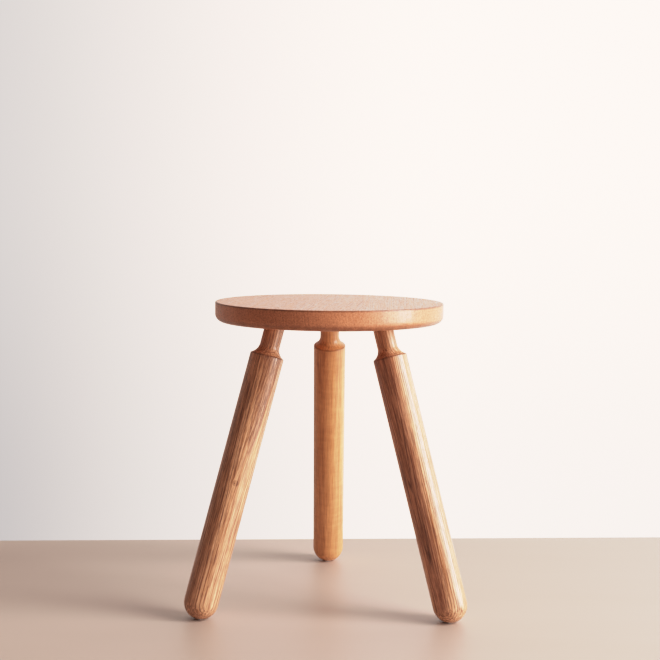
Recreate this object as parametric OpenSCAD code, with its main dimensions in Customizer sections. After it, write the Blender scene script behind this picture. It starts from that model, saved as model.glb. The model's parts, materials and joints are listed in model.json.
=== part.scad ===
// Three-legged milking stool: a round seat glued up from three boards, on three splayed turned legs.
// Millimetres. The origin is on the floor under the middle of the seat, +Z is up, and the
// grain of the seat runs front to back along Y. One leg stands at the back, two at the front.

/* [Seat] */
// Diameter of the round seat
seat_d = 300; // [280:5:340]
// Thickness of the seat
seat_t = 26; // [24:1:32]
// Radius of the rounding under the rim
rim_under_r = 10; // [4:1:12]
// Radius of the eased edge at the top of the rim
rim_top_r = 1.5; // [0.5:0.5:3]
// Width of the middle seat board, the outer two take the rest
middle_board_w = 90; // [84:1:92]

/* [Legs] */
// Height of the seat's top above the floor
stool_h = 400; // [340:10:460]
// Lean of each leg away from upright, in degrees
splay = 16.4; // [12:0.2:18]
// Diameter of a leg and of its round foot
leg_d = 44; // [38:1:48]
// Diameter of the neck and of the tenon above it
neck_d = 26; // [22:1:28]
// Length of the neck along the leg, from the seat's underside down to the shoulder
neck_len = 43; // [30:1:60]
// Radius of the cove between the neck and the shoulder
cove_r = 15; // [13:1:24]
// Distance from the middle of the seat to each leg's axis, at the underside
leg_circle_r = 79; // [76:1:90]
// How much is trimmed off each round foot to level it
foot_trim = 0.8; // [0.4:0.1:2]

/* [Joinery] */
// Depth of each blind mortise along the leg's axis
mortise_depth = 18; // [14:1:19]
// Room left for glue at the end of each tenon and each dowel
glue_room = 1; // [0.5:0.5:2]
// Chamfer around the end of each tenon
tenon_chamfer = 1; // [0.5:0.5:2]
// Depth of the saw kerf in the end of each tenon
kerf_depth = 12; // [8:1:14]
// Thickness of each hidden wedge at its thin edge
wedge_tip_t = 1.5; // [1:0.5:2]
// Thickness of each hidden wedge at its driven end
wedge_head_t = 3.5; // [3:0.5:4]
// Width of each hidden wedge
wedge_w = 20; // [14:1:21]
// Diameter of the dowels between the seat boards
dowel_d = 8; // [6:1:10]
// Length of each dowel
dowel_len = 40; // [30:2:44]
// Distance between neighbouring dowels along a seam
dowel_pitch = 95; // [85:5:105]
// Chamfer around each dowel end
dowel_chamfer = 1; // [0.5:0.5:2]

/* [Hidden] */

$fn = 96;

SEAT_WOOD = "#c58a58";
LEG_WOOD = "#cf9a66";
DOWEL_WOOD = "#d9b98c";

// Directions of the legs around the seat, counted from +X
AZ_BACK = 90;
AZ_LEFT = 210;
AZ_RIGHT = 330;

// Stations along a seam, counted in dowel pitches from the middle
FRONT = -1;
MIDDLE = 0;
REAR = 1;

cut_over = 5; // how far a cutting shape runs past the face that it opens
seat_r = seat_d / 2;
leg_r = leg_d / 2;
neck_r = neck_d / 2;
underside_z = stool_h - seat_t;
seam_x = middle_board_w / 2;
dowel_z = underside_z + seat_t / 2;
tenon_len = mortise_depth - glue_room;
// Distance down the leg's axis from the seat's underside to the middle of the foot's ball
foot_len = (underside_z - leg_r + foot_trim) / cos(splay);
// The cove leaves the neck smoothly and meets the leg's full diameter at the shoulder
cove_angle = acos(1 - (leg_r - neck_r) / cove_r);
cove_h = cove_r * sin(cove_angle);

// ---- seat ----

// What is cut off outside a quarter round whose centre is at the origin
module outside_quarter(r) {
    difference() {
        square(r + cut_over);
        circle(r);
    }
}

// Half of the seat's cross-section, with the underside on the X axis
module seat_section() {
    difference() {
        square([seat_r, seat_t]);
        translate([seat_r - rim_top_r, seat_t - rim_top_r])
            outside_quarter(rim_top_r);
        translate([seat_r - rim_under_r, rim_under_r])
            mirror([0, 1])
                outside_quarter(rim_under_r);
    }
}

module seat_blank() {
    translate([0, 0, underside_z])
        rotate_extrude()
            seat_section();
}

// Runs its children in a leg's own frame: Z up the leg, zero at the seat's underside
module on_leg(azimuth) {
    rotate([0, 0, azimuth])
        translate([leg_circle_r, 0, underside_z])
            rotate([0, -splay, 0])
                children();
}

module mortises() {
    for (azimuth = [AZ_BACK, AZ_LEFT, AZ_RIGHT])
        on_leg(azimuth)
            translate([0, 0, -neck_r])
                cylinder(r = neck_r, h = neck_r + mortise_depth);
}

module dowel_holes() {
    hole_len = dowel_len + 2 * glue_room;
    for (side = [-1, 1], station = [FRONT, MIDDLE, REAR])
        translate([side * seam_x - hole_len / 2, station * dowel_pitch, dowel_z])
            rotate([0, 90, 0])
                cylinder(d = dowel_d, h = hole_len);
}

// The strip of the seat between two lines of X, with its mortises and dowel holes
module seat_board(x_from, x_to) {
    color(SEAT_WOOD)
        difference() {
            intersection() {
                seat_blank();
                translate([x_from, -seat_d, underside_z - cut_over])
                    cube([x_to - x_from, 2 * seat_d, seat_t + 2 * cut_over]);
            }
            mortises();
            dowel_holes();
        }
}

module seat_board_left() {
    seat_board(-seat_d, -seam_x);
}

module seat_board_middle() {
    seat_board(-seam_x, seam_x);
}

module seat_board_right() {
    seat_board(seam_x, seat_d);
}

// A dowel across one seam: side is -1 for the left seam and 1 for the right
module dowel(side, station) {
    color(DOWEL_WOOD)
        translate([side * seam_x, station * dowel_pitch, dowel_z])
            rotate([0, 90, 0])
                rotate_extrude()
                    polygon([
                        [0, -dowel_len / 2],
                        [dowel_d / 2 - dowel_chamfer, -dowel_len / 2],
                        [dowel_d / 2, -dowel_len / 2 + dowel_chamfer],
                        [dowel_d / 2, dowel_len / 2 - dowel_chamfer],
                        [dowel_d / 2 - dowel_chamfer, dowel_len / 2],
                        [0, dowel_len / 2]
                    ]);
}

// ---- legs ----

module tenon_section() {
    polygon([
        [0, -neck_len],
        [neck_r, -neck_len],
        [neck_r, tenon_len - tenon_chamfer],
        [neck_r - tenon_chamfer, tenon_len],
        [0, tenon_len]
    ]);
}

// The flare from the neck out to the shoulder
module cove_section() {
    difference() {
        translate([0, -neck_len])
            square([leg_r, cove_h]);
        translate([neck_r + cove_r, cove_h - neck_len])
            circle(cove_r);
    }
}

// The straight body and the half-round foot under it
module body_section() {
    translate([0, -foot_len])
        square([leg_r, foot_len - neck_len]);
    intersection() {
        translate([0, -foot_len])
            circle(leg_r);
        translate([0, -foot_len - leg_r])
            square(leg_r);
    }
}

// Tapered slab that fills the kerf, square to the seat's grain so that it can't split a board
module wedge_shape(azimuth, width) {
    on_leg(azimuth)
        rotate([90, 0, 90 - azimuth])
            linear_extrude(height = width, center = true)
                polygon([
                    [-wedge_tip_t / 2, tenon_len - kerf_depth],
                    [wedge_tip_t / 2, tenon_len - kerf_depth],
                    [wedge_head_t / 2, mortise_depth],
                    [-wedge_head_t / 2, mortise_depth]
                ]);
}

module leg(azimuth) {
    color(LEG_WOOD)
        difference() {
            on_leg(azimuth)
                rotate_extrude() {
                    tenon_section();
                    cove_section();
                    body_section();
                }
            wedge_shape(azimuth, leg_d);
            // Levels the foot on the floor
            translate([-stool_h, -stool_h, -leg_d])
                cube([2 * stool_h, 2 * stool_h, leg_d]);
        }
}

module tenon_wedge(azimuth) {
    color(DOWEL_WOOD)
        wedge_shape(azimuth, wedge_w);
}

seat_board_left();
seat_board_middle();
seat_board_right();
leg(AZ_BACK);  // leg_back
leg(AZ_LEFT);  // leg_front_left
leg(AZ_RIGHT);  // leg_front_right
tenon_wedge(AZ_BACK);  // tenon_wedge_back
tenon_wedge(AZ_LEFT);  // tenon_wedge_front_left
tenon_wedge(AZ_RIGHT);  // tenon_wedge_front_right
dowel(-1, FRONT);  // dowel_left_front
dowel(-1, MIDDLE);  // dowel_left_middle
dowel(-1, REAR);  // dowel_left_rear
dowel(1, FRONT);  // dowel_right_front
dowel(1, MIDDLE);  // dowel_right_middle
dowel(1, REAR);  // dowel_right_rear
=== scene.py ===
"""A three-legged milking stool, dressed in oiled wood.

The seat is glued up from three boards and stands on three turned legs. Every visible piece is
shaped here around the fixed frame and takes its place from it.
"""

import json
import logging
import math
from contextlib import contextmanager
from dataclasses import dataclass, replace
from enum import Enum
from typing import Callable, Iterator, Sequence

import bmesh
import bpy
from mathutils import Euler, Matrix, Vector


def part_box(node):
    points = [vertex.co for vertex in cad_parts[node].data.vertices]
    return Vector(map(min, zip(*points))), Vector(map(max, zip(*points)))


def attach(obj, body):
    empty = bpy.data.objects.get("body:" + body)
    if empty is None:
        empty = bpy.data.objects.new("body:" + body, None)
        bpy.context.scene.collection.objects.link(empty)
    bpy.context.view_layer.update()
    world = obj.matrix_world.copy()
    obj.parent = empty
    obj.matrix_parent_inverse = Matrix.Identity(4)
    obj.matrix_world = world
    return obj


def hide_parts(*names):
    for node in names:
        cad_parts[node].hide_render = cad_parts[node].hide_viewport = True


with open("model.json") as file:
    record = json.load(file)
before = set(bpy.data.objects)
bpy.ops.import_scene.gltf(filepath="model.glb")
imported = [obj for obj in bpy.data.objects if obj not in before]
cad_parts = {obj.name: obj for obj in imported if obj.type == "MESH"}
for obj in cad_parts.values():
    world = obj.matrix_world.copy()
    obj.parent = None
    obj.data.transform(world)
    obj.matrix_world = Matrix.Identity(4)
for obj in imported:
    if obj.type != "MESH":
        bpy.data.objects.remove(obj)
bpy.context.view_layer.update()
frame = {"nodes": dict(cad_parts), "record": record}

MM = 0.001
NEAR = 0.01 * MM  # points closer than this lie in the same plane
WELD = 0.002 * MM  # points closer than this are one point
CRISP_DEG = 32.0  # edges that bend more than this stay crisp
UP = Vector((0.0, 0.0, 1.0))

logging.basicConfig(level=logging.INFO, format="%(message)s")
log = logging.getLogger("stool")


class LegPlace(Enum):
    """Where a leg stands, as seen from the front of the stool."""

    BACK = "back"
    FRONT_LEFT = "front_left"
    FRONT_RIGHT = "front_right"


class BoardPlace(Enum):
    """Which strip of the seat a board is."""

    LEFT = "left"
    MIDDLE = "middle"
    RIGHT = "right"


class DowelRow(Enum):
    """Where along a seam a dowel lies."""

    FRONT = "front"
    MIDDLE = "middle"
    REAR = "rear"


# ---- the bench: picking pieces up and shaping them ----


def pick_up(*pieces: bpy.types.Object) -> None:
    """Selects only the given pieces and makes the last one active.

    Args:
        *pieces: The objects to select.
    """
    bpy.ops.object.select_all(action="DESELECT")
    for piece in pieces:
        piece.select_set(True)
    bpy.context.view_layer.objects.active = pieces[-1]


@contextmanager
def shaping(piece: bpy.types.Object) -> Iterator[None]:
    """Holds one piece in edit mode with nothing selected.

    Args:
        piece: The object to shape.

    Yields:
        None, while the piece is in edit mode.
    """
    pick_up(piece)
    bpy.ops.object.mode_set(mode="EDIT")
    bpy.ops.mesh.select_all(action="DESELECT")
    try:
        yield
    finally:
        bpy.ops.object.mode_set(mode="OBJECT")


def select_edges(piece: bpy.types.Object, wanted: Callable[[Vector, Vector], bool]) -> None:
    """Selects edges by where their two ends are, in edit mode.

    Args:
        piece: The object being shaped.
        wanted: Says yes or no to the two end points of an edge.
    """
    bpy.ops.mesh.select_mode(type="EDGE")
    bpy.ops.mesh.select_all(action="DESELECT")
    for edge in bmesh.from_edit_mesh(piece.data).edges:
        if wanted(edge.verts[0].co, edge.verts[1].co):
            edge.select_set(True)
    bmesh.update_edit_mesh(piece.data)


def select_faces(piece: bpy.types.Object, wanted: Callable[[Vector, Vector], bool]) -> None:
    """Selects faces by their middle and normal, in edit mode.

    Args:
        piece: The object being shaped.
        wanted: Says yes or no to a face's middle and its normal.
    """
    bpy.ops.mesh.select_mode(type="FACE")
    bpy.ops.mesh.select_all(action="DESELECT")
    for face in bmesh.from_edit_mesh(piece.data).faces:
        if wanted(face.calc_center_median(), face.normal):
            face.select_set(True)
    bmesh.update_edit_mesh(piece.data)


def round_over(radius: float, steps: int) -> None:
    """Rounds the selected edges over, in edit mode.

    Args:
        radius: The radius, or the chamfer's width where there is one step.
        steps: How many facets the rounding has.
    """
    bpy.ops.mesh.bevel(offset=radius, offset_type="OFFSET", segments=steps, affect="EDGES")


def set_down(piece: bpy.types.Object) -> None:
    """Moves a piece's place into its mesh, so that its object sits unturned at the origin.

    Args:
        piece: The object to settle.
    """
    pick_up(piece)
    bpy.ops.object.transform_apply(location=True, rotation=True, scale=True)


def close_up(piece: bpy.types.Object) -> None:
    """Merges doubled points and turns every face outwards.

    Args:
        piece: The object to clean.
    """
    with shaping(piece):
        bpy.ops.mesh.select_all(action="SELECT")
        bpy.ops.mesh.remove_doubles(threshold=WELD)
        bpy.ops.mesh.normals_make_consistent(inside=False)


def cut_away(piece: bpy.types.Object, cutters: Sequence[bpy.types.Object]) -> None:
    """Cuts every cutter's shape out of a piece and throws the cutters away.

    Args:
        piece: The object to cut.
        cutters: Closed objects whose shapes are taken out.
    """
    for cutter in cutters:
        pick_up(piece)
        cut = piece.modifiers.new("cut", "BOOLEAN")
        cut.operation = "DIFFERENCE"
        cut.solver = "EXACT"
        cut.object = cutter
        bpy.ops.object.modifier_apply(modifier=cut.name)
        bpy.data.objects.remove(cutter)


def smooth(piece: bpy.types.Object, angle_deg: float = CRISP_DEG) -> None:
    """Shades a piece smooth and keeps edges sharper than an angle crisp.

    Args:
        piece: The object to shade.
        angle_deg: Edges that bend more than this stay crisp.
    """
    pick_up(piece)
    bpy.ops.object.shade_smooth_by_angle(angle=math.radians(angle_deg))


def copy_of(piece: bpy.types.Object, name: str) -> bpy.types.Object:
    """Copies a piece with a mesh of its own.

    Args:
        piece: The object to copy.
        name: The copy's name.

    Returns:
        The new object.
    """
    twin = piece.copy()
    twin.data = piece.data.copy()
    twin.name = name
    twin.data.name = name
    bpy.context.collection.objects.link(twin)
    return twin


def added(name: str) -> bpy.types.Object:
    """Names the primitive that was just added.

    Args:
        name: The object's new name.

    Returns:
        The object.
    """
    piece = bpy.context.active_object
    piece.name = name
    piece.data.name = name
    return piece


# ---- finishes ----

Colour = tuple[float, float, float]
Wire = bpy.types.NodeSocket


class Recipe:
    """The node tree of a material, or of the room, with short ways to add to it."""

    def __init__(self, owner: bpy.types.Material | bpy.types.World) -> None:
        """Takes hold of the node tree and of the shader that it starts with.

        Args:
            owner: The material or the world.
        """
        owner.use_nodes = True
        self.owner = owner
        self.tree = owner.node_tree
        self.shader = self._first("BSDF_PRINCIPLED", "BACKGROUND")
        self.output = self._first("OUTPUT_MATERIAL", "OUTPUT_WORLD")

    def _first(self, *kinds: str) -> bpy.types.Node:
        """Finds the first node that is of one of the given types."""
        return next(n for n in self.tree.nodes if n.type in kinds)

    def feed(self, socket: Wire, value: object) -> None:
        """Links an output to an input, or sets the input to a plain value.

        Args:
            socket: The input.
            value: An output socket, a number, or a tuple.
        """
        if isinstance(value, bpy.types.NodeSocket):
            self.tree.links.new(value, socket)
        else:
            socket.default_value = value

    def node(self, kind: str, **settings: object) -> bpy.types.Node:
        """Adds a node and sets its properties.

        Args:
            kind: The node's type name.
            **settings: Properties to set on it.

        Returns:
            The node.
        """
        made = self.tree.nodes.new(kind)
        for key, value in settings.items():
            setattr(made, key, value)
        return made

    def math(self, operation: str, *values: object, clamp: bool = False) -> Wire:
        """Adds a Math node.

        Args:
            operation: What it does, such as MULTIPLY.
            *values: Its inputs, in order.
            clamp: Whether the result is held from 0 to 1.

        Returns:
            Its output.
        """
        made = self.node("ShaderNodeMath", operation=operation, use_clamp=clamp)
        for socket, value in zip(made.inputs, values):
            self.feed(socket, value)
        return made.outputs[0]

    def vector(self, operation: str, *values: object) -> Wire:
        """Adds a Vector Math node and gives its vector output, or its number where it makes one.

        Args:
            operation: What it does, such as ADD.
            *values: Its inputs, in order.

        Returns:
            Its output.
        """
        made = self.node("ShaderNodeVectorMath", operation=operation)
        for socket, value in zip(made.inputs, values):
            self.feed(socket, value)
        makes_number = operation in ("LENGTH", "DISTANCE", "DOT_PRODUCT")
        return made.outputs["Value" if makes_number else "Vector"]

    def stretched(self, place: Wire, along: float) -> Wire:
        """Squeezes space along Z, so that a pattern read from it runs out along the grain.

        Args:
            place: The coordinates.
            along: The factor on Z; a small one makes long streaks.

        Returns:
            The squeezed coordinates.
        """
        return self.vector("MULTIPLY", place, (1.0, 1.0, along))

    def noise(
        self,
        place: Wire,
        scale: float,
        detail: float = 2.0,
        rough: float = 0.5,
        color: bool = False,
    ) -> Wire:
        """Adds a Noise texture.

        Args:
            place: Where it is read.
            scale: How fine it is, per metre.
            detail: How many finer layers it has.
            rough: How strong the finer layers are.
            color: Whether to give three numbers and not one.

        Returns:
            Its output, around 0.5.
        """
        made = self.node("ShaderNodeTexNoise")
        self.feed(made.inputs["Vector"], place)
        made.inputs["Scale"].default_value = scale
        made.inputs["Detail"].default_value = detail
        made.inputs["Roughness"].default_value = rough
        return made.outputs["Color" if color else "Fac"]

    def ramp(self, value: Wire, stops: Sequence[tuple[float, float]]) -> Wire:
        """Bends a number through a grey ramp.

        Args:
            value: The number to bend.
            stops: Pairs of where and how much.

        Returns:
            The bent number.
        """
        made = self.node("ShaderNodeValToRGB")
        self.feed(made.inputs["Fac"], value)
        elements = made.color_ramp.elements
        while len(elements) < len(stops):
            elements.new(0.5)
        for element, (where, amount) in zip(elements, stops):
            element.position = where
            element.color = (amount, amount, amount, 1.0)
        return made.outputs["Color"]

    def line_noise(self, value: Wire, scale: float, detail: float) -> Wire:
        """Adds a Noise texture that is read along a single number.

        Args:
            value: The number.
            scale: How fine it is.
            detail: How many finer layers it has.

        Returns:
            Its output, around 0.5.
        """
        made = self.node("ShaderNodeTexNoise", noise_dimensions="1D")
        self.feed(made.inputs["W"], value)
        made.inputs["Scale"].default_value = scale
        made.inputs["Detail"].default_value = detail
        return made.outputs["Fac"]

    def between(
        self, value: Wire, low: float, high: float, to_low: float = 0.0, to_high: float = 1.0
    ) -> Wire:
        """Maps a range smoothly onto another.

        Args:
            value: The number to map.
            low: Where the range starts.
            high: Where it ends.
            to_low: What the start becomes.
            to_high: What the end becomes.

        Returns:
            The mapped number.
        """
        made = self.node("ShaderNodeMapRange", interpolation_type="SMOOTHSTEP")
        for socket, given in zip(made.inputs, (value, low, high, to_low, to_high)):
            self.feed(socket, given)
        return made.outputs["Result"]

    def mix(self, amount: object, first: object, second: object, blend: str = "MIX") -> Wire:
        """Mixes two colours.

        Args:
            amount: How much of the second is used, from 0 to 1.
            first: A colour or an output.
            second: A colour or an output.
            blend: How they are mixed.

        Returns:
            The mixed colour.
        """
        made = self.node("ShaderNodeMix", data_type="RGBA", blend_type=blend)
        self.feed(made.inputs["Factor"], amount)
        for socket, given in zip((s for s in made.inputs if s.type == "RGBA"), (first, second)):
            self.feed(socket, (*given, 1.0) if isinstance(given, tuple) else given)
        return next(s for s in made.outputs if s.type == "RGBA")

    def choose(self, amount: Wire, first: bpy.types.Node, second: bpy.types.Node) -> None:
        """Shows a mix of two shaders.

        Args:
            amount: How much of the second is used, from 0 to 1.
            first: A shader.
            second: A shader.
        """
        both = self.node("ShaderNodeMixShader")
        for socket, given in zip(both.inputs, (amount, first.outputs[0], second.outputs[0])):
            self.feed(socket, given)
        self.feed(self.output.inputs["Surface"], both.outputs[0])


@dataclass(frozen=True)
class Layer:
    """One scatter of marks in the wood.

    Attributes:
        scale: How fine it is, per metre.
        along: The squeeze along the grain; a small one makes long marks.
        detail: How many finer layers it has.
        rough: How strong the finer layers are.
    """

    scale: float
    along: float
    detail: float
    rough: float

    def read(self, recipe: Recipe, place: Wire) -> Wire:
        """Adds the scatter to a material.

        Args:
            recipe: The material being made.
            place: Coordinates in the log.

        Returns:
            Its output, around 0.5.
        """
        squeezed = recipe.stretched(place, self.along)
        return recipe.noise(squeezed, self.scale, self.detail, self.rough)


FIBRE = Layer(900.0, 0.012, 3.0, 0.6)
STREAKS = Layer(520.0, 0.018, 4.0, 0.72)
CLOUDS = Layer(16.0, 0.22, 3.0, 0.55)
# A patchy noise that breaks up the painted shade along edges
SHADE_PATCHES = Layer(140.0, 1.0, 3.0, 0.6)
# The grain's slow drift, its waver and its tremble: how fine, how long, and the share of the wander
DRIFTS = ((7.0, 0.30, 4.0), (60.0, 0.14, 0.22), (420.0, 0.10, 0.05))
# The squeeze and the fineness of the flame that crosses the grain
FLAME_SQUEEZE = (0.5, 0.5, 1.6)
FLAME_SCALE = 90.0
# How open the wood is through one year, from its first spring wood to its last summer wood
YEAR = ((0.0, 0.35), (0.05, 1.0), (0.14, 0.85), (0.27, 0.18), (0.65, 0.0), (1.0, 0.12))
# How much the shade of a mark tells in red, in green and in blue
TINT_POWERS = (0.8, 1.05, 1.25)
# A knot's middle as a share of the pores' colour, and painted edge shade as a share of the spring
# wood's
KNOT_SHADE = 0.35
PAINTED_EDGE_SHADE = 0.45
# How much rougher the pores are, and how much the streaks vary the roughness
PORE_ROUGH = 0.35
STREAK_ROUGH = 0.30
# How high the fibre, the pores and the spring wood stand, as shares of the relief
FIBRE_HEIGHT, PORE_HEIGHT, EARLY_HEIGHT = 0.5, -1.0, -0.35
BUMP_STRENGTH = 0.6


@dataclass(frozen=True)
class Knot:
    """A small knot that pushes the grain aside.

    Attributes:
        place: Where it is, in the stool's frame, in metres.
        reach: How far its swirl reaches, in metres.
        core: The radius of its dark middle, in metres.
    """

    place: tuple[float, float, float]
    reach: float
    core: float


@dataclass(frozen=True)
class PaintedShadeEdge:
    """A round edge darkened with painted shade, in a patchy band.

    Attributes:
        centre: The middle of the circle that the edge follows, in the stool's frame, in metres.
        axis: The direction that the circle faces.
        radius: The circle's radius, in metres.
        reach: How far from the edge the painted shade reaches, in metres.
        show: How dark it is, from 0 to 1.
    """

    centre: tuple[float, float, float]
    axis: tuple[float, float, float]
    radius: float
    reach: float
    show: float = 0.6

    def mask(self, recipe: Recipe, here: Wire) -> Wire:
        """Works out where the painted shade falls.

        Args:
            recipe: The material being made.
            here: Coordinates in the stool's frame.

        Returns:
            The painted shade, from 0 to 1.
        """
        arm = recipe.vector("SUBTRACT", here, self.centre)
        rise = recipe.vector("DOT_PRODUCT", arm, self.axis)
        span = recipe.vector("DOT_PRODUCT", arm, arm)
        rise_squared = recipe.math("MULTIPLY", rise, rise)
        out = recipe.math("MAXIMUM", recipe.math("SUBTRACT", span, rise_squared), 0.0)
        out = recipe.math("SUBTRACT", recipe.math("SQRT", out), self.radius)
        away = recipe.math("SQRT", recipe.math("MULTIPLY_ADD", out, out, rise_squared))
        # Painted shade, strongest at the edge and patchy along it
        near = recipe.between(away, self.reach * 0.3, self.reach, 1.0, 0.0)
        patchy = recipe.between(SHADE_PATCHES.read(recipe, here), 0.3, 0.6, 0.55, 1.0)
        return recipe.math("MULTIPLY", recipe.math("MULTIPLY", near, patchy), self.show)


@dataclass(frozen=True)
class LogCut:
    """How a piece lay in the log that it was cut from.

    Attributes:
        along: The direction of the grain.
        pith: A point on the log's heart, in the stool's frame, in metres.
        seed: How far up the log it was, in metres, which makes each piece's figure its own.
        knots: Knots in it.
        edges: Edges of the piece darkened with painted shade.
        heart_r: The radius of the log's darker heartwood, in metres.
        heartwood_and_shade_show: How dark the heartwood is, from 0 to 1; on the legs it also paints
            shade on their shaded side.
    """

    along: tuple[float, float, float]
    pith: tuple[float, float, float]
    seed: float
    knots: tuple[Knot, ...] = ()
    edges: tuple[PaintedShadeEdge, ...] = ()
    heart_r: float = 0.0
    heartwood_and_shade_show: float = 0.0

    def into_log(self) -> tuple[Euler, Vector]:
        """Gives the turn and the shift that take the stool's frame to the log's, Z up its heart.

        Returns:
            The turn, and the shift that follows it.
        """
        turn = Vector(self.along).rotation_difference(UP).to_matrix()
        shift = -(turn @ Vector(self.pith)) + UP * self.seed
        return turn.to_euler(), shift


@dataclass(frozen=True)
class OiledWood:
    """Ring-porous hardwood, rubbed with a satin oil.

    Attributes:
        name: The finish's name.
        late: The colour of the dense summer wood.
        early: The colour of the open spring wood.
        pore: The colour inside the pores.
        ring: The average width of a year's ring, in metres.
        ring_show: How much the rings show, from 0 to 1.
        pore_show: How dark the pores are, from 0 to 1.
        pore_length: How many times longer than wide the pores are.
        scatter: How many pores lie outside the spring wood, from 0 to 1.
        relief: How deep the pores are felt, in metres.
        streak: How strong the fibre's streaks are.
        wander: How far the grain drifts sideways, in metres.
        mottle: How strong the soft cross-grain flame is.
        heartwood_and_shade_stain: What the heartwood multiplies the colour by; on the legs this
            also paints shade on their shaded side.
        heart_edge: How far either side of its radius the heartwood fades, in metres.
        rough: The roughness of the oiled surface.
        sheen_coat: The weight of the oil's clear film.
        coat_rough: The roughness of that film.
    """

    name: str
    late: Colour
    early: Colour
    pore: Colour
    ring: float = 3.2 * MM
    ring_show: float = 0.75
    pore_show: float = 0.7
    pore_length: float = 22.0
    scatter: float = 0.22
    relief: float = 0.12 * MM
    streak: float = 0.40
    wander: float = 5.0 * MM
    mottle: float = 0.10
    heartwood_and_shade_stain: Colour = (0.66, 0.56, 0.56)
    heart_edge: float = 3.0 * MM
    rough: float = 0.40
    sheen_coat: float = 0.30
    coat_rough: float = 0.16

    def dress(self, piece: bpy.types.Object, cut: LogCut) -> None:
        """Makes this finish for one piece and puts it on.

        Args:
            piece: The object to dress.
            cut: How the piece lay in the log.
        """
        recipe = Recipe(bpy.data.materials.new(f"{self.name}_{piece.name}"))
        here = recipe.node("ShaderNodeTexCoord").outputs["Object"]
        turn, shift = cut.into_log()
        mapping = recipe.node("ShaderNodeMapping", vector_type="POINT")
        mapping.inputs["Rotation"].default_value = turn
        mapping.inputs["Location"].default_value = shift
        recipe.feed(mapping.inputs["Vector"], here)
        log_place = mapping.outputs["Vector"]

        swirl, cores = self._knots(recipe, here, cut.knots)
        grain = self._drifted(recipe, log_place)
        rings = self._rings(recipe, grain, swirl)
        pores = self._pores(recipe, grain, rings["early"])
        marks = {
            **rings,
            "fibre": FIBRE.read(recipe, grain),
            "streak": recipe.between(STREAKS.read(recipe, grain), 0.24, 0.76),
        }

        open_wood = recipe.math("MULTIPLY", rings["early"], self.ring_show)
        colour = recipe.mix(open_wood, self.late, self.early)
        colour = self._shaded(recipe, colour, log_place, marks)
        # Darker heartwood on the leg's shaded side: partly the wood's colour, partly painted shade
        if cut.heartwood_and_shade_show > 0.0:
            start, end = cut.heart_r - self.heart_edge, cut.heart_r + self.heart_edge
            heart = recipe.between(rings["radius"], start, end, 1.0, 0.0)
            heart = recipe.math("MULTIPLY", heart, cut.heartwood_and_shade_show)
            colour = recipe.mix(heart, colour, self.heartwood_and_shade_stain, "MULTIPLY")
        colour = recipe.mix(recipe.math("MULTIPLY", pores, self.pore_show), colour, self.pore)
        if cores is not None:
            colour = recipe.mix(cores, colour, tuple(KNOT_SHADE * c for c in self.pore))
        # Painted shade along the piece's darkened edges
        edge_shade_colour = tuple(PAINTED_EDGE_SHADE * c for c in self.early)
        for edge in cut.edges:
            colour = recipe.mix(edge.mask(recipe, here), colour, edge_shade_colour)
        recipe.feed(recipe.shader.inputs["Base Color"], colour)
        self._surface(recipe, pores, marks)
        piece.data.materials.clear()
        piece.data.materials.append(recipe.owner)

    def _surface(self, recipe: Recipe, pores: Wire, marks: dict[str, Wire]) -> None:
        """Sets the sheen of the oil, and sinks the pores and the spring wood.

        Args:
            recipe: The material being made.
            pores: How deep the pores are.
            marks: How open the wood is, the fibre and the streaks.
        """
        sheen = recipe.shader.inputs
        rough = recipe.math("MULTIPLY_ADD", pores, PORE_ROUGH, self.rough)
        rough = recipe.math("ADD", rough, -0.5 * STREAK_ROUGH)
        rough = recipe.math("MULTIPLY_ADD", marks["streak"], STREAK_ROUGH, rough, clamp=True)
        recipe.feed(sheen["Roughness"], rough)
        sheen["Coat Weight"].default_value = self.sheen_coat
        sheen["Coat Roughness"].default_value = self.coat_rough
        sheen["IOR"].default_value = 1.5
        height = recipe.math("MULTIPLY", marks["fibre"], FIBRE_HEIGHT)
        height = recipe.math("MULTIPLY_ADD", pores, PORE_HEIGHT, height)
        height = recipe.math("MULTIPLY_ADD", marks["early"], EARLY_HEIGHT, height)
        bump = recipe.node("ShaderNodeBump")
        bump.inputs["Strength"].default_value = BUMP_STRENGTH
        bump.inputs["Distance"].default_value = self.relief
        recipe.feed(bump.inputs["Height"], height)
        recipe.feed(sheen["Normal"], bump.outputs["Normal"])

    def _shaded(
        self, recipe: Recipe, colour: Wire, log_place: Wire, marks: dict[str, Wire]
    ) -> Wire:
        """Lightens and darkens the wood with its streaks, its clouds and its flame.

        Args:
            recipe: The material being made.
            colour: The wood's own colour.
            log_place: Coordinates in the log.
            marks: The tone of each year, the fibre and the streaks.

        Returns:
            The shaded colour.
        """
        cloud = CLOUDS.read(recipe, log_place)
        flame = recipe.vector("MULTIPLY", log_place, FLAME_SQUEEZE)
        flame = recipe.noise(flame, FLAME_SCALE, 2.0, 0.6)
        lights: object = 1.0
        for mark, show in (
            (marks["fibre"], 0.50),
            (marks["streak"], 2.0 * self.streak),
            (marks["tone"], 0.16),
            (cloud, 0.32),
            (flame, 2.0 * self.mottle),
        ):
            change = recipe.math("MULTIPLY_ADD", mark, show, -0.5 * show)
            lights = recipe.math("ADD", lights, change)
        tint = recipe.node("ShaderNodeCombineColor")
        for socket, strength in zip(tint.inputs, TINT_POWERS):
            recipe.feed(socket, recipe.math("POWER", lights, strength))
        return recipe.mix(1.0, colour, tint.outputs["Color"], "MULTIPLY")

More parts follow.
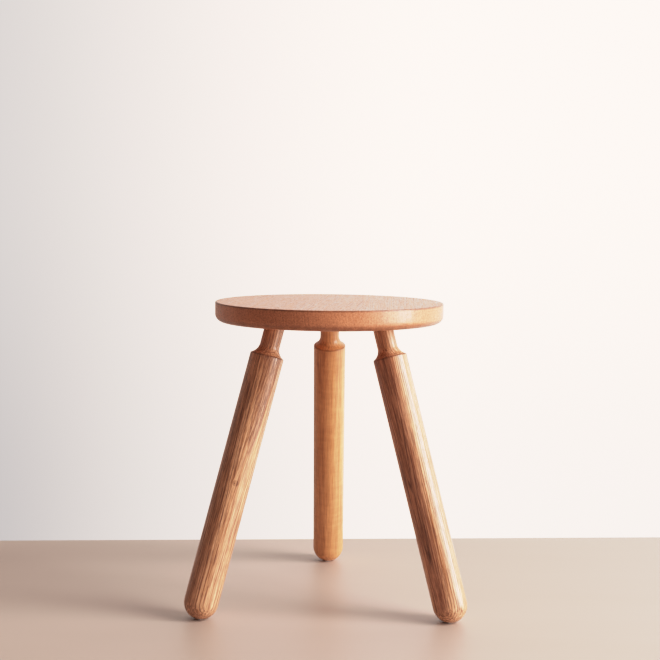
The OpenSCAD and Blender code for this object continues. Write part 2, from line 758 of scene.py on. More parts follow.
    def _drifted(self, recipe: Recipe, place: Wire) -> Wire:
        """Lets the grain drift slowly, and tremble a little, as it runs up the log.

        Args:
            recipe: The material being made.
            place: Coordinates in the log.

        Returns:
            The drifted coordinates.
        """
        for scale, along, share in DRIFTS:
            reach = self.wander * share
            push = recipe.noise(recipe.stretched(place, along), scale, 1.0, 0.5, color=True)
            push = recipe.vector("SUBTRACT", push, (0.5, 0.5, 0.5))
            push = recipe.vector("MULTIPLY", push, (reach, reach, 0.0))
            place = recipe.vector("ADD", place, push)
        return place

    def _rings(self, recipe: Recipe, grain: Wire, swirl: Wire | None) -> dict[str, Wire]:
        """Draws the year rings around the heart.

        Args:
            recipe: The material being made.
            grain: The drifted coordinates.
            swirl: How much knots push the rings outwards, in metres, or None.

        Returns:
            The distance from the heart (radius), how open the wood is (early), and the shade
            of each year (tone).
        """
        radius = recipe.vector("LENGTH", recipe.vector("MULTIPLY", grain, (1.0, 1.0, 0.0)))
        if swirl is not None:
            radius = recipe.math("ADD", radius, swirl)
        years = recipe.math("DIVIDE", radius, self.ring)
        # Wet and dry years make some rings wide and others narrow
        years = recipe.math("MULTIPLY_ADD", recipe.line_noise(years, 0.37, 1.0), 2.4, years)
        own = recipe.node("ShaderNodeTexWhiteNoise", noise_dimensions="1D")
        recipe.feed(own.inputs["W"], recipe.math("FLOOR", years))
        own_value = own.outputs["Value"]
        thin = recipe.math("MULTIPLY", recipe.line_noise(years, 4.0, 2.0), 0.5)
        tone = recipe.math("MULTIPLY_ADD", own_value, 0.5, thin)
        shape = recipe.ramp(recipe.math("FRACT", years), YEAR)
        early = recipe.math("MULTIPLY", shape, recipe.math("MULTIPLY_ADD", own_value, 0.6, 0.4))
        return {"radius": radius, "early": early, "tone": tone}

    def _pores(self, recipe: Recipe, grain: Wire, early: Wire) -> Wire:
        """Scatters long pores, most of them in the spring wood, over a second, finer scatter.

        Args:
            recipe: The material being made.
            grain: The drifted coordinates.
            early: How open the wood is.

        Returns:
            How deep the pores are, from 0 to 1.
        """
        along = 1.0 / self.pore_length
        bold = recipe.between(Layer(620.0, along, 2.0, 0.6).read(recipe, grain), 0.50, 0.60)
        bold_share = recipe.math("MULTIPLY_ADD", early, 1.0 - self.scatter, self.scatter)
        fine = recipe.between(Layer(1600.0, along, 1.0, 0.5).read(recipe, grain), 0.52, 0.66)
        fine_share = recipe.math("MULTIPLY_ADD", early, 0.5, 0.35)
        bold = recipe.math("MULTIPLY", bold, bold_share)
        fine = recipe.math("MULTIPLY", fine, fine_share)
        return recipe.math("MAXIMUM", bold, fine)

    def _knots(
        self, recipe: Recipe, here: Wire, knots: Sequence[Knot]
    ) -> tuple[Wire | None, Wire | None]:
        """Works out the push and the dark cores of the knots.

        Args:
            recipe: The material being made.
            here: Coordinates in the stool's frame.
            knots: The knots.

        Returns:
            The push in metres and the darkness of the cores, or None for each with no knots.
        """
        swirl = cores = None
        for knot in knots:
            far = recipe.vector("DISTANCE", here, knot.place)
            near = recipe.between(far, 0.0, knot.reach, 1.0, 0.0)
            push = recipe.math("MULTIPLY", recipe.math("POWER", near, 2.0), knot.reach * 0.45)
            core = recipe.between(far, knot.core * 0.4, knot.core, 1.0, 0.0)
            swirl = push if swirl is None else recipe.math("ADD", swirl, push)
            cores = core if cores is None else recipe.math("MAXIMUM", cores, core)
        return swirl, cores


SEAT_FINISH = OiledWood(
    name="seat_oil",
    late=(0.60, 0.245, 0.125),
    early=(0.50, 0.19, 0.09),
    pore=(0.15, 0.05, 0.025),
    ring=2.4 * MM,
    ring_show=0.5,
    pore_show=0.5,
    pore_length=12.0,
    scatter=0.25,
    relief=0.06 * MM,
    streak=0.30,
    wander=4.0 * MM,
    rough=0.38,
    sheen_coat=0.17,
    coat_rough=0.13,
)
LEG_FINISH = OiledWood(
    name="leg_oil",
    late=(0.71, 0.37, 0.205),
    early=(0.25, 0.10, 0.052),
    pore=(0.13, 0.05, 0.03),
    ring=2.9 * MM,
    ring_show=1.0,
    pore_show=0.95,
    pore_length=16.0,
    scatter=0.42,
    streak=0.70,
    sheen_coat=0.34,
    coat_rough=0.20,
)
COARSE_LEG_FINISH = replace(
    LEG_FINISH, name="coarse_leg_oil", late=(0.68, 0.35, 0.19), ring=3.2 * MM
)
SMOOTH_LEG_FINISH = OiledWood(
    name="plain_leg_oil",
    late=(0.64, 0.295, 0.125),
    early=(0.53, 0.225, 0.09),
    pore=(0.26, 0.10, 0.045),
    ring=4.5 * MM,
    ring_show=0.55,
    pore_show=0.45,
    streak=0.30,
    mottle=0.24,
    sheen_coat=0.30,
    coat_rough=0.20,
)
BARE_FINISH = OiledWood(
    name="bare",
    late=(0.68, 0.48, 0.28),
    early=(0.58, 0.38, 0.20),
    pore=(0.40, 0.24, 0.12),
    ring=1.6 * MM,
    ring_show=0.6,
    pore_show=0.4,
    wander=1.5 * MM,
    rough=0.62,
    sheen_coat=0.0,
)


# ---- the stool ----


@dataclass(frozen=True)
class LegStock:
    """The length of log that a leg was turned from.

    Attributes:
        heart_side: Where the log's heart lies from the middle of the leg, in metres.
        seed: How far up the log it was, in metres.
        heart_r: The radius of the log's darker heartwood, in metres.
        heartwood_and_shade_show: How dark the heartwood is, from 0 to 1; it also paints shade on
            the leg's shaded side.
        knot: A knot's turn round the leg in degrees and its share of the way down, or None.
    """

    heart_side: tuple[float, float, float]
    seed: float
    heart_r: float = 0.0
    heartwood_and_shade_show: float = 0.0
    knot: tuple[float, float] | None = None


# Each front leg's darker heartwood lies on its shaded left side, partly wood colour, partly painted
# shade
LEG_STOCK = {
    LegPlace.BACK: LegStock((0.055, 0.10, 0.0), 0.7),
    LegPlace.FRONT_LEFT: LegStock((-0.046, 0.086, 0.0), 5.9, 113.0 * MM, 0.4, (68.0, 0.57)),
    LegPlace.FRONT_RIGHT: LegStock((-0.046, -0.066, 0.0), 3.1, 63.5 * MM, 0.95),
}
RIVEN_SLOPE = Vector((0.012, 0.02, 0.0))  # how far the grain of riven stock runs off its axis


@dataclass
class Leg:
    """One turned leg: blind tenon, slim neck, cove, shoulder, straight body and round foot.

    Attributes:
        place: Where it stands.
        underside: The height of the seat's underside.
        lean_deg: How far it leans from upright.
        leg_r: The radius of its body and foot.
        neck_r: The radius of its neck and tenon.
        neck_len: The neck's length from the seat down to the shoulder.
        cove_r: The radius of the cove.
        tenon_len: The length of the tenon inside the seat.
        mortise_depth: The depth of the hole that it stands in.
        tenon_chamfer: The chamfer around the tenon's end.
        arris_r: The softening of the shoulder's edge.
        foot_trim: How much of the round foot is levelled off.
        foot_ease: How far above the floor the ring ends that softens the edge of the flat.
        kerf: The depth of the tenon's kerf, then its width at the bottom and at the mouth.
        turns: How many facets go round.
        steps: How many rings shape the foot, the body, the shoulder's edge, the cove and the neck.
        finish: How it is oiled.
    """

    place: LegPlace
    underside: float
    lean_deg: float = 16.4
    leg_r: float = 22.0 * MM
    neck_r: float = 13.0 * MM
    neck_len: float = 43.0 * MM
    cove_r: float = 15.0 * MM
    tenon_len: float = 17.0 * MM
    mortise_depth: float = 18.0 * MM
    tenon_chamfer: float = 1.0 * MM
    arris_r: float = 0.8 * MM
    foot_trim: float = 0.8 * MM
    foot_ease: float = 0.1 * MM
    kerf: tuple[float, float, float] = (12.0 * MM, 1.5 * MM, 3.5 * MM)
    turns: int = 144
    steps: tuple[int, int, int, int, int] = (20, 22, 5, 14, 5)
    finish: OiledWood = LEG_FINISH

    @property
    def foot(self) -> Vector:
        """The middle of the levelled flat, as the frame's mount gives it."""
        mounts = {m["name"]: m for m in frame["record"]["mounts"]}
        return Vector(mounts[f"foot_{self.place.value}"]["pos_m"])

    @property
    def foot_len(self) -> float:
        """The distance down the axis from the seat's underside to the middle of the foot's ball."""
        drop = self.underside - self.leg_r + self.foot_trim
        return drop / math.cos(math.radians(self.lean_deg))

    def stance(self) -> Matrix:
        """Gives the leg's own frame: Z up the axis, zero where the axis meets the seat's underside.

        Returns:
            The matrix from the leg's frame to the stool's.
        """
        azimuth = math.atan2(self.foot.y, self.foot.x)
        out = self.foot.xy.length - self.foot_len * math.sin(math.radians(self.lean_deg))
        return (
            Matrix.Rotation(azimuth, 4, "Z")
            @ Matrix.Translation((out, 0.0, self.underside))
            @ Matrix.Rotation(-math.radians(self.lean_deg), 4, "Y")
        )

    def _profile(self) -> list[tuple[float, float]]:
        """Lists the turned outline from the bottom of the foot to the tip of the tenon.

        Returns:
            Pairs of radius and height in the leg's own frame.
        """
        foot_steps, body_steps, arris_steps, cove_steps, neck_steps = self.steps
        ball = -self.foot_len
        body_top = -self.neck_len - self.arris_r
        # The cove's circle touches the neck and cuts the leg's full diameter at the shoulder
        cove_end = math.acos(1.0 - (self.leg_r - self.neck_r) / self.cove_r)
        cove_top = -self.neck_len + self.cove_r * math.sin(cove_end)
        arris_end = 0.25 * math.pi + 0.5 * cove_end
        arris_room = 0.04  # the part of the cove's turn that the shoulder's softened edge takes up
        tip = self.tenon_len - self.tenon_chamfer
        points: list[tuple[float, float]] = []
        for i in range(foot_steps + 1):
            a = 0.5 * math.pi * i / foot_steps
            points.append((self.leg_r * math.sin(a), ball - self.leg_r * math.cos(a)))
        for i in range(1, body_steps + 1):
            points.append((self.leg_r, ball + (body_top - ball) * i / body_steps))
        for i in range(1, arris_steps + 1):
            a = arris_end * i / arris_steps
            inwards = self.arris_r * (1.0 - math.cos(a))
            points.append((self.leg_r - inwards, body_top + self.arris_r * math.sin(a)))
        for i in range(1, cove_steps + 1):
            a = cove_end * (1.0 - i / cove_steps)
            if a < cove_end - arris_room:
                outwards = self.cove_r * (1.0 - math.cos(a))
                points.append((self.neck_r + outwards, cove_top - self.cove_r * math.sin(a)))
        for i in range(1, neck_steps + 1):
            points.append((self.neck_r, cove_top + (tip - cove_top) * i / neck_steps))
        points.append((self.neck_r - self.tenon_chamfer, self.tenon_len))
        points.append((0.0, self.tenon_len))
        return points

    def _turn(self) -> bpy.types.Object:
        """Turns the outline on the lathe.

        Returns:
            The turned blank in the leg's own frame.
        """
        profile = self._profile()
        start_r, start_z = profile[0]
        bpy.ops.object.select_all(action="DESELECT")
        bpy.ops.mesh.primitive_plane_add(size=1.0 * MM, location=(start_r, 0.0, start_z))
        blank = added(f"leg_turned_{self.place.value}")
        set_down(blank)
        with shaping(blank):
            bpy.ops.mesh.select_mode(type="VERT")
            bpy.ops.mesh.select_all(action="SELECT")
            bpy.ops.mesh.merge(type="CENTER")
            for (r0, z0), (r1, z1) in zip(profile, profile[1:]):
                move = {"value": (r1 - r0, 0.0, z1 - z0)}
                bpy.ops.mesh.extrude_vertices_move(TRANSFORM_OT_translate=move)
            bpy.ops.mesh.select_all(action="SELECT")
            bpy.ops.mesh.spin(steps=self.turns, angle=math.tau, center=(0, 0, 0), axis=(0, 0, 1))
        close_up(blank)
        return blank

    def _kerf_cutter(self) -> bpy.types.Object:
        """Makes the tapered slab that the kerf is cut with, square to the seat's grain.

        Returns:
            The cutter in the stool's frame.
        """
        depth, bottom, mouth = self.kerf
        start = self.tenon_len - depth
        end = self.mortise_depth
        bpy.ops.object.select_all(action="DESELECT")
        bpy.ops.mesh.primitive_cube_add(size=1.0, location=(0.0, 0.0, 0.5 * (start + end)))
        cutter = added("kerf_cutter")
        cutter.scale = (bottom, 4.0 * self.neck_r, end - start)
        set_down(cutter)
        with shaping(cutter):
            select_faces(cutter, lambda middle, normal: normal.z > 0.5)
            bpy.ops.transform.resize(value=(mouth / bottom, 1.0, 1.0))
        across = 0.5 * math.pi - math.atan2(self.foot.y, self.foot.x)
        cutter.matrix_world = self.stance() @ Matrix.Rotation(across, 4, "Z")
        set_down(cutter)
        return cutter

    def bit(self) -> bpy.types.Object:
        """Makes the boring bit for its mortise.

        Returns:
            The cutter in the stool's frame.
        """
        length = self.mortise_depth + self.neck_r
        bpy.ops.object.select_all(action="DESELECT")
        bpy.ops.mesh.primitive_cylinder_add(vertices=self.turns, radius=self.neck_r, depth=length)
        bit = added("mortise_bit")
        middle = Matrix.Translation((0, 0, self.mortise_depth - 0.5 * length))
        bit.matrix_world = self.stance() @ middle
        set_down(bit)
        return bit

    def build(self) -> bpy.types.Object:
        """Turns the leg, stands it in its place, levels its foot and saws its kerf.

        Returns:
            The leg, with no finish yet.
        """
        leg = self._turn()
        leg.matrix_world = self.stance()
        set_down(leg)
        self._level(leg)
        cut_away(leg, [self._kerf_cutter()])
        smooth(leg)
        return leg

    def _level(self, leg: bpy.types.Object) -> None:
        """Sands the foot level on the floor, with a ring cut round the flat and nothing below it.

        Args:
            leg: The standing leg.
        """
        with shaping(leg):
            bpy.ops.mesh.select_all(action="SELECT")
            bpy.ops.mesh.bisect(plane_co=(0, 0, self.foot_ease), plane_no=(0, 0, 1))
            bpy.ops.mesh.select_all(action="SELECT")
            bpy.ops.mesh.bisect(plane_co=(0, 0, 0), plane_no=(0, 0, 1))
            select_faces(leg, lambda middle, normal: middle.z < 0.0)
            bpy.ops.transform.resize(value=(1.0, 1.0, 0.0), center_override=(0.0, 0.0, 0.0))
        close_up(leg)

    def axis(self) -> Vector:
        """The direction up the leg."""
        return (self.stance().to_3x3() @ UP).normalized()

    def middle(self) -> Vector:
        """A point on the axis halfway down the leg."""
        return self.stance() @ Vector((0.0, 0.0, -0.5 * self.foot_len))

    def dress(self, leg: bpy.types.Object) -> None:
        """Oils the leg, with the log's heart on the side that suits its figure, and paints shade at
        its shoulder and round its foot.

        Args:
            leg: The built leg.
        """
        stock = LEG_STOCK[self.place]
        along = (self.axis() + RIVEN_SLOPE).normalized()
        pith = self.middle() + Vector(stock.heart_side)
        knots = ()
        if stock.knot is not None:
            turn_deg, down = stock.knot
            turn = Matrix.Rotation(math.radians(turn_deg), 4, "Z")
            spot = self.stance() @ turn @ Vector((self.leg_r, 0.0, -down * self.foot_len))
            knots = (Knot(place=tuple(spot), reach=9.0 * MM, core=0.9 * MM),)
        shoulder = self.stance() @ Vector((0.0, 0.0, -self.neck_len))
        # Painted shade at the shoulder's edge beside the cove, and painted contact shade round the
        # foot
        edges = (
            PaintedShadeEdge(tuple(shoulder), tuple(self.axis()), self.leg_r, 2.2 * MM, 0.6),
            PaintedShadeEdge(tuple(self.foot), tuple(UP), 6.0 * MM, 5.0 * MM, 0.35),
        )
        cut = LogCut(
            tuple(along), tuple(pith), stock.seed, knots, edges, stock.heart_r, stock.heartwood_and_shade_show
        )
        self.finish.dress(leg, cut)


@dataclass
class Seat:
    """The round seat, glued up from three boards.

    Attributes:
        under_r: The rounding under the rim.
        top_r: The eased edge at the top.
        seam_ease: The hair's breadth that each board's edges are eased by at a seam.
        face_ring: The width of the faces that keep the top and the underside flat up to their edge.
        facets: How many facets go round the rim.
        top_steps: How many facets the eased edge has.
        under_steps: How many facets the rounding under the rim has.
    """

    under_r: float = 10.0 * MM
    top_r: float = 1.5 * MM
    seam_ease: float = 0.08 * MM
    face_ring: float = 0.6 * MM
    facets: int = 288
    top_steps: int = 5
    under_steps: int = 14

    def __post_init__(self) -> None:
        """Reads the seat's place and size from the frame's boards."""
        low, high = (Vector(corner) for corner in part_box("seat_board_middle"))
        self.radius = 0.5 * (high.y - low.y)
        self.underside = low.z
        self.top = high.z
        self.seam_x = high.x

    def _disc(self) -> bpy.types.Object:
        """Makes the whole round of the seat, with its rim rounded over.

        Returns:
            The disc.
        """
        bpy.ops.object.select_all(action="DESELECT")
        bpy.ops.mesh.primitive_cylinder_add(
            vertices=self.facets,
            radius=self.radius,
            depth=self.top - self.underside,
            location=(0.0, 0.0, 0.5 * (self.top + self.underside)),
        )
        disc = added("seat_disc")
        set_down(disc)
        with shaping(disc):
            select_edges(disc, lambda a, b: min(a.z, b.z) > self.top - NEAR)
            round_over(self.top_r, self.top_steps)
            select_edges(disc, lambda a, b: max(a.z, b.z) < self.underside + NEAR)
            round_over(self.under_r, self.under_steps)
            select_faces(disc, lambda middle, normal: abs(normal.z) > 0.9999)
            bpy.ops.mesh.inset(thickness=self.face_ring)
        return disc

    def build(self, legs: Sequence[Leg]) -> dict[BoardPlace, bpy.types.Object]:
        """Saws the disc into boards and bores their mortises and dowel holes.

        Args:
            legs: The legs that stand in the seat.

        Returns:
            Each board by its place, with no finish yet.
        """
        disc = self._disc()
        strips = {
            BoardPlace.LEFT: (None, -self.seam_x),
            BoardPlace.MIDDLE: (-self.seam_x, self.seam_x),
            BoardPlace.RIGHT: (self.seam_x, None),
        }
        boards = {}
        for place, (low, high) in strips.items():
            board = copy_of(disc, f"seat_{place.value}")
            with shaping(board):
                if low is not None:
                    self._saw(low, clear_inner=True)
                if high is not None:
                    self._saw(high, clear_outer=True)
                for seam in (x for x in (low, high) if x is not None):
                    self._ease(board, seam)
            close_up(board)
            cut_away(board, self._cutters(place, legs))
            smooth(board)
            boards[place] = board
        bpy.data.objects.remove(disc)
        return boards

    def _saw(self, seam: float, **waste: bool) -> None:
        """Saws the board in edit mode along a seam.

        Args:
            seam: The seam's X.
            **waste: Which side falls away.
        """
        bpy.ops.mesh.select_all(action="SELECT")
        bpy.ops.mesh.bisect(plane_co=(seam, 0, 0), plane_no=(1, 0, 0), use_fill=True, **waste)

    def _ease(self, board: bpy.types.Object, seam: float) -> None:
        """Eases a board's edges at a seam, so that the glued joint reads as a hairline.

        Args:
            board: The board in edit mode.
            seam: The seam's X.
        """
        select_edges(board, lambda a, b: max(abs(a.x - seam), abs(b.x - seam)) < NEAR)
        round_over(self.seam_ease, 1)

    def _cutters(self, place: BoardPlace, legs: Sequence[Leg]) -> list[bpy.types.Object]:
        """Makes the boring bits for one board.

        Args:
            place: Which board.
            legs: The legs that stand in the seat.

        Returns:
            A cutter for each hole in the board.
        """
        home = {
            LegPlace.BACK: BoardPlace.MIDDLE,
            LegPlace.FRONT_LEFT: BoardPlace.LEFT,
            LegPlace.FRONT_RIGHT: BoardPlace.RIGHT,
        }
        mortises = [leg.bit() for leg in legs if home[leg.place] is place]
        return mortises + [dowel.bit() for dowel in Dowel.all() if place in dowel.boards()]

    def dress(self, boards: dict[BoardPlace, bpy.types.Object]) -> None:
        """Oils the boards; each was cut from its own part of the log.

        Args:
            boards: The built boards.
        """
        fold = self.under_r * (1.0 - math.sqrt(0.5))
        over, under = (0.0, 0.0, self.top), (0.0, 0.0, self.underside + fold)
        # Painted shade along the top's eased edge, and painted shadow on the rounding under the rim
        rims = (
            PaintedShadeEdge(over, tuple(UP), self.radius, 3.0 * MM, 0.95),
            PaintedShadeEdge(under, tuple(UP), self.radius - fold, 6.5 * MM, 0.7),
        )
        cuts = {
            BoardPlace.LEFT: LogCut((0.12, 1.0, 0.01), (-0.36, 0.0, 0.345), 5.3, edges=rims),
            BoardPlace.MIDDLE: LogCut((0.09, 1.0, 0.008), (0.31, 0.0, 0.430), 8.1, edges=rims),
            BoardPlace.RIGHT: LogCut((0.05, 1.0, -0.012), (0.42, 0.0, 0.350), 11.4, edges=rims),
        }
        for place, board in boards.items():
            SEAT_FINISH.dress(board, cuts[place])


@dataclass(frozen=True)
class Dowel:
    """A fluted dowel across a seam of the seat.

    Attributes:
        side: -1 for the left seam and 1 for the right.
        row: Where along the seam it lies.
        flutes: How many glue flutes run along it.
        flute_depth: How deep they are.
        flute_edge: How far a flute's floor is set in from its sides.
        chamfer: The chamfer around each end.
        glue_room: The room past each end of the dowel in its hole.
        flute_strips: How many facets go round from one flute to the next.
        hole_facets: How many facets go round its hole.
        crisp_deg: Its edges that bend more than this stay crisp.
    """

    side: int
    row: DowelRow
    flutes: int = 16
    flute_depth: float = 0.25 * MM
    flute_edge: float = 0.08 * MM
    chamfer: float = 1.0 * MM
    glue_room: float = 1.0 * MM
    flute_strips: int = 4
    hole_facets: int = 48
    crisp_deg: float = 25.0

    @staticmethod
    def all() -> list["Dowel"]:
        """Lists the six dowels."""
        return [Dowel(side, row) for side in (-1, 1) for row in DowelRow]

    @property
    def node(self) -> str:
        """The name of the frame's node."""
        return f"dowel_{'left' if self.side < 0 else 'right'}_{self.row.value}"

    def boards(self) -> tuple[BoardPlace, BoardPlace]:
        """The two boards that it joins."""
        return (BoardPlace.LEFT if self.side < 0 else BoardPlace.RIGHT, BoardPlace.MIDDLE)

    def _rod(self, name: str, extra: float, facets: int) -> bpy.types.Object:
        """Makes a plain rod at the dowel's place.

        Args:
            name: The rod's name.
            extra: How much longer it is at each end.
            facets: How many facets go round.

        Returns:
            The rod.
        """
        low, high = (Vector(corner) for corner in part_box(self.node))
        bpy.ops.object.select_all(action="DESELECT")
        bpy.ops.mesh.primitive_cylinder_add(
            vertices=facets,
            radius=0.5 * (high.z - low.z),
            depth=high.x - low.x + 2.0 * extra,
            location=0.5 * (low + high),
            rotation=(0.0, 0.5 * math.pi, 0.0),
        )
        rod = added(name)
        set_down(rod)
        return rod

    def bit(self) -> bpy.types.Object:
        """Makes the boring bit for its hole.

        Returns:
            The cutter.
        """
        return self._rod("dowel_bit", self.glue_room, self.hole_facets)

    def build(self) -> bpy.types.Object:
        """Makes the dowel with chamfered ends and pressed flutes.

        Returns:
            The dowel, with no finish yet.
        """
        strips = self.flute_strips * self.flutes
        dowel = self._rod(f"fluted_{self.node}", 0.0, strips)
        low, high = (Vector(corner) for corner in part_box(self.node))
        middle = 0.5 * (low + high)
        with shaping(dowel):
            select_edges(dowel, lambda a, b: abs(a.x - b.x) < NEAR)
            round_over(self.chamfer, 1)

            def in_flute(face_middle: Vector, normal: Vector) -> bool:
                """Says whether a face is at the bottom of a flute."""
                if abs(normal.x) > 0.1:
                    return False
                turn = math.atan2(face_middle.z - middle.z, face_middle.y - middle.y)
                return math.floor(turn / math.tau * strips) % self.flute_strips == 0

            select_faces(dowel, in_flute)
            bpy.ops.mesh.inset(thickness=self.flute_edge, use_individual=True)
            bpy.ops.transform.shrink_fatten(value=-self.flute_depth)
        close_up(dowel)
        smooth(dowel, self.crisp_deg)
        return dowel


class Stool:
    """The whole stool: it builds, dresses and hands over every piece."""

    def __init__(self) -> None:
        """Sets out the seat and the legs from the frame."""
        self.seat = Seat()
        self.legs = [
            Leg(LegPlace.BACK, self.seat.underside, finish=SMOOTH_LEG_FINISH),
            Leg(LegPlace.FRONT_LEFT, self.seat.underside, finish=COARSE_LEG_FINISH),
            Leg(LegPlace.FRONT_RIGHT, self.seat.underside),
        ]

    def _hand_over(self, piece: bpy.types.Object, node: str) -> None:
        """Rides a piece on the stool's body in the place of a frame node.

        Args:
            piece: The finished piece.
            node: The node that it stands for.
        """
        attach(piece, "root")
        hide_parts(node)
        log.info("%s: %d faces", piece.name, len(piece.data.polygons))

    def build_legs(self) -> None:
        """Builds and dresses the three legs."""
        for leg in self.legs:
            piece = leg.build()
            leg.dress(piece)
            self._hand_over(piece, f"leg_{leg.place.value}")

    def build_seat(self) -> None:
        """Builds and dresses the seat's boards."""
        boards = self.seat.build(self.legs)
        self.seat.dress(boards)
        for place, board in boards.items():
            self._hand_over(board, f"seat_board_{place.value}")

    def build_joinery(self) -> None:
        """Builds the fluted dowels and dresses the hidden wedges."""
        for dowel in Dowel.all():
            piece = dowel.build()
            middle = sum((Vector(c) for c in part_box(dowel.node)), Vector()) * 0.5
            pith = middle + Vector((0.0, 0.02, 0.03))
            cut = LogCut((1.0, 0.01, 0.0), tuple(pith), dowel.side * (2.0 + middle.y))
            BARE_FINISH.dress(piece, cut)
            self._hand_over(piece, dowel.node)
        for number, leg in enumerate(self.legs):
            wedge = frame["nodes"][f"tenon_wedge_{leg.place.value}"]
            pith = leg.middle() + Vector((0.03, 0.02, 0.0))
            cut = LogCut(tuple(leg.axis()), tuple(pith), 20.0 + number)
            BARE_FINISH.dress(wedge, cut)
            log.info("%s: dressed in place", wedge.name)


# ---- the studio ----


@dataclass(frozen=True)
class Window:
    """One tall window's light, which faces the stool.

    Attributes:
        name: Its name.
        azimuth_deg: Its direction from the stool, counted from the front towards the right.
        width: How wide it is.
        power: Its power.
        away: Its distance from the stool's axis.
        height: How tall it is.
        middle: The height of its middle.
        colour: Its colour.
    """

    name: str
    azimuth_deg: float
    width: float
    power: float
    away: float = 2.6
    height: float = 3.2
    middle: float = 1.62
    colour: Colour = (1.0, 0.97, 0.95)

    def hang(self) -> None:
        """Hangs it in its place."""
        data = bpy.data.lights.new(self.name, "AREA")
        data.shape = "RECTANGLE"
        data.size, data.size_y = self.width, self.height
        data.energy = self.power
        data.color = self.colour
        lamp = bpy.data.objects.new(self.name, data)
        bpy.context.collection.objects.link(lamp)
        a = math.radians(self.azimuth_deg)
        place = Vector((self.away * math.sin(a), -self.away * math.cos(a), self.middle))
        turn = (Vector((0.0, 0.0, self.middle)) - place).to_track_quat("-Z", "Y")
        lamp.matrix_world = Matrix.Translation(place) @ turn.to_matrix().to_4x4()


@dataclass(frozen=True)
class Floor:
    """The pale floor, which ends a little behind the stool as a table top does.

    Attributes:
        size: Its width and depth.
        back_edge: Where it ends behind the stool.
        edge_turn_deg: How far that edge is turned from square.
        fade: How far from the stool it starts to fade out, and where it ends.
        gap: The hair's breadth between the feet and the floor, which keeps their faces apart.
        foot_patch: The radius of the clear patch under each foot, a little less than the flat's.
        dark: The darker of its two tones.
        pale: The paler of its two tones.
        rough: Its roughness.
    """

    size: tuple[float, float] = (12.0, 8.0)
    back_edge: float = 0.303
    edge_turn_deg: float = 4.0
    fade: tuple[float, float] = (1.1, 2.1)
    gap: float = 0.2 * MM
    foot_patch: float = 5.7 * MM
    dark: Colour = (0.48, 0.37, 0.31)
    pale: Colour = (0.53, 0.41, 0.35)
    rough: float = 0.45

    def lay(self) -> None:
        """Lays the floor."""
        width, depth = self.size
        middle = (0.0, self.back_edge - 0.5 * depth, -self.gap)
        bpy.ops.object.select_all(action="DESELECT")
        bpy.ops.mesh.primitive_plane_add(size=1.0, location=middle)
        floor = added("floor")
        floor.scale = (width, depth, 1.0)
        set_down(floor)
        pivot = Matrix.Translation((0.0, self.back_edge, 0.0))
        turn = Matrix.Rotation(math.radians(self.edge_turn_deg), 4, "Z")
        floor.matrix_world = pivot @ turn @ pivot.inverted()
        set_down(floor)
        self._paint(floor)

    def _paint(self, floor: bpy.types.Object) -> None:
        """Paints the floor in two close tones, and makes it clear where it shouldn't show.

        Args:
            floor: The floor.
        """
        recipe = Recipe(bpy.data.materials.new("floor"))
        place = recipe.node("ShaderNodeTexCoord").outputs["Object"]
        grain = recipe.noise(recipe.vector("MULTIPLY", place, (0.15, 1.0, 1.0)), 9.0, 3.0, 0.6)
        recipe.feed(recipe.shader.inputs["Base Color"], recipe.mix(grain, self.dark, self.pale))
        recipe.shader.inputs["Roughness"].default_value = self.rough
        # It fades out far from the stool, and is clear from below to show the underside
        hidden = recipe.between(recipe.vector("LENGTH", place), *self.fade)
        below = recipe.node("ShaderNodeNewGeometry").outputs["Backfacing"]
        hidden = recipe.math("MAXIMUM", hidden, below)
        # It is clear where a foot's flat rests on it too, so that light from below reaches the flat
        for mount in frame["record"]["mounts"]:
            if mount["name"].startswith("foot_"):
                away = recipe.vector("DISTANCE", place, tuple(mount["pos_m"]))
                patch = recipe.math("LESS_THAN", away, self.foot_patch)
                hidden = recipe.math("MAXIMUM", hidden, patch)
        clear = recipe.node("ShaderNodeBsdfTransparent")
        recipe.choose(hidden, recipe.shader, clear)
        floor.data.materials.append(recipe.owner)


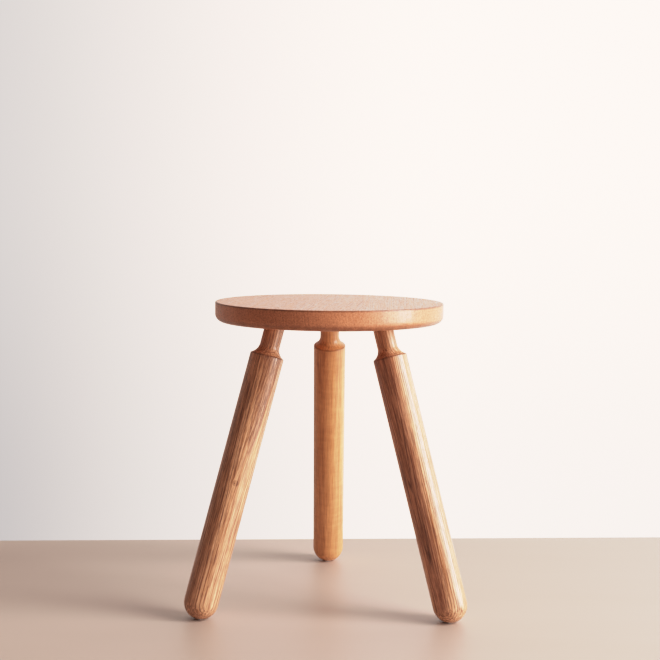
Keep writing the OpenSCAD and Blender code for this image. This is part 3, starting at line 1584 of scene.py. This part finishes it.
@dataclass(frozen=True)
class Room:
    """The soft light of the room: a bright wall behind the stool and a dim room in front of it.

    Attributes:
        wall_span: Where along X the wall brightens towards the window.
        wall: The light from the wall far from the window and near it.
        front_span: Where along Y the wall takes over from the room.
        front: The light from the dim room in front.
        seen_span: Where along X the wall brightens where it is looked at.
        seen_high: Its two colours high up.
        seen_low: Its two colours down at the floor.
        seen_rise: Where along Z it changes from low to high.
    """

    wall_span: tuple[float, float] = (-0.35, 0.20)
    wall: tuple[Colour, Colour] = ((0.55, 0.45, 0.40), (1.62, 1.58, 1.52))
    front_span: tuple[float, float] = (-0.1, 0.55)
    front: Colour = (0.21, 0.15, 0.135)
    seen_span: tuple[float, float] = (-0.30, 0.10)
    seen_high: tuple[Colour, Colour] = ((0.74, 0.68, 0.66), (2.5, 1.85, 1.55))
    seen_low: tuple[Colour, Colour] = ((0.56, 0.535, 0.535), (1.85, 1.48, 1.30))
    seen_rise: tuple[float, float] = (-0.27, 0.06)

    def light(self) -> None:
        """Sets the light that comes from the room, and what is seen of it."""
        world = bpy.data.worlds.new("room")
        bpy.context.scene.world = world
        recipe = Recipe(world)
        split = recipe.node("ShaderNodeSeparateXYZ")
        recipe.feed(split.inputs[0], recipe.node("ShaderNodeTexCoord").outputs["Generated"])
        side, ahead, rise = split.outputs

        def blend(value: Wire, span: tuple[float, float], first: object, second: object) -> Wire:
            """Blends two colours of the room smoothly over a range of directions."""
            return recipe.mix(recipe.between(value, *span), first, second)

        lit = blend(ahead, self.front_span, self.front, blend(side, self.wall_span, *self.wall))
        low, high = (blend(side, self.seen_span, *pair) for pair in (self.seen_low, self.seen_high))
        seen = recipe.node("ShaderNodeBackground")
        shown = blend(rise, self.seen_rise, low, high)
        for shader, colour in ((recipe.shader, lit), (seen, shown)):
            recipe.feed(shader.inputs["Color"], colour)
            shader.inputs["Strength"].default_value = 1.0
        looked_at = recipe.node("ShaderNodeLightPath").outputs["Is Camera Ray"]
        recipe.choose(looked_at, recipe.shader, seen)


@dataclass(frozen=True)
class Studio:
    """The camera, the floor and the soft window light from the right.

    Attributes:
        eye: The camera's place.
        turn_deg: The camera's turn to the right of straight ahead.
        tilt_deg: How far it looks up.
        roll_deg: How far it is rolled clockwise.
        lens_mm: Its lens.
        sensor_mm: The width of its frame.
        windows: The windows.
        tones: How each brightness is printed.
    """

    eye: tuple[float, float, float] = (0.01732, -1.64633, 0.52078)
    turn_deg: float = -0.562
    tilt_deg: float = -5.494
    roll_deg: float = 0.601
    lens_mm: float = 68.32
    sensor_mm: float = 36.0
    windows: tuple[Window, ...] = (
        Window("window", 78.0, 0.94, 148.0),
        Window("window_side", 60.5, 0.80, 56.0, colour=(1.0, 0.98, 0.94)),
    )
    tones: tuple[tuple[float, float], ...] = (
        (0.0, 0.0),
        (0.1, 0.09),
        (0.25, 0.25),
        (0.5, 0.51),
        (0.75, 0.71),
        (1.0, 0.80),
        (1.4, 0.88),
        (2.0, 0.95),
        (3.0, 1.0),
    )

    def set_camera(self) -> None:
        """Puts up the camera."""
        turn, tilt, roll = (math.radians(a) for a in (self.turn_deg, self.tilt_deg, self.roll_deg))
        ahead = Vector(
            (math.sin(turn) * math.cos(tilt), math.cos(turn) * math.cos(tilt), math.sin(tilt))
        )
        level = Vector((math.cos(turn), -math.sin(turn), 0.0))
        above = level.cross(ahead)
        right = math.cos(roll) * level + math.sin(roll) * above
        up = -math.sin(roll) * level + math.cos(roll) * above
        lens = bpy.data.cameras.new("camera")
        lens.sensor_width = self.sensor_mm
        lens.lens = self.lens_mm
        lens.clip_end = 50.0
        camera = bpy.data.objects.new("camera", lens)
        bpy.context.collection.objects.link(camera)
        aim = Matrix((right, up, -ahead)).transposed().to_4x4()
        camera.matrix_world = Matrix.Translation(self.eye) @ aim
        bpy.context.scene.camera = camera

    def soften_highlights(self) -> None:
        """Rolls the brightest tones off softly, as a print does."""
        view = bpy.context.scene.view_settings
        view.view_transform = "Standard"
        view.use_curve_mapping = True
        brightest = self.tones[-1][0]
        view.curve_mapping.white_level = (brightest, brightest, brightest)
        curve = view.curve_mapping.curves[3]  # the curve for red, green and blue together
        while len(curve.points) < len(self.tones):
            curve.points.new(0.5, 0.5)
        for point, (bright, printed) in zip(curve.points, self.tones):
            point.location = (bright / brightest, printed)
        view.curve_mapping.update()

    def set_up(self) -> None:
        """Sets up the camera, the floor and the lights."""
        self.set_camera()
        Floor().lay()
        for window in self.windows:
            window.hang()
        Room().light()
        self.soften_highlights()


def main() -> None:
    """Builds the stool and its studio in order."""
    stool = Stool()
    stool.build_legs()
    stool.build_seat()
    stool.build_joinery()
    Studio().set_up()


if __name__ == "__main__":
    main()
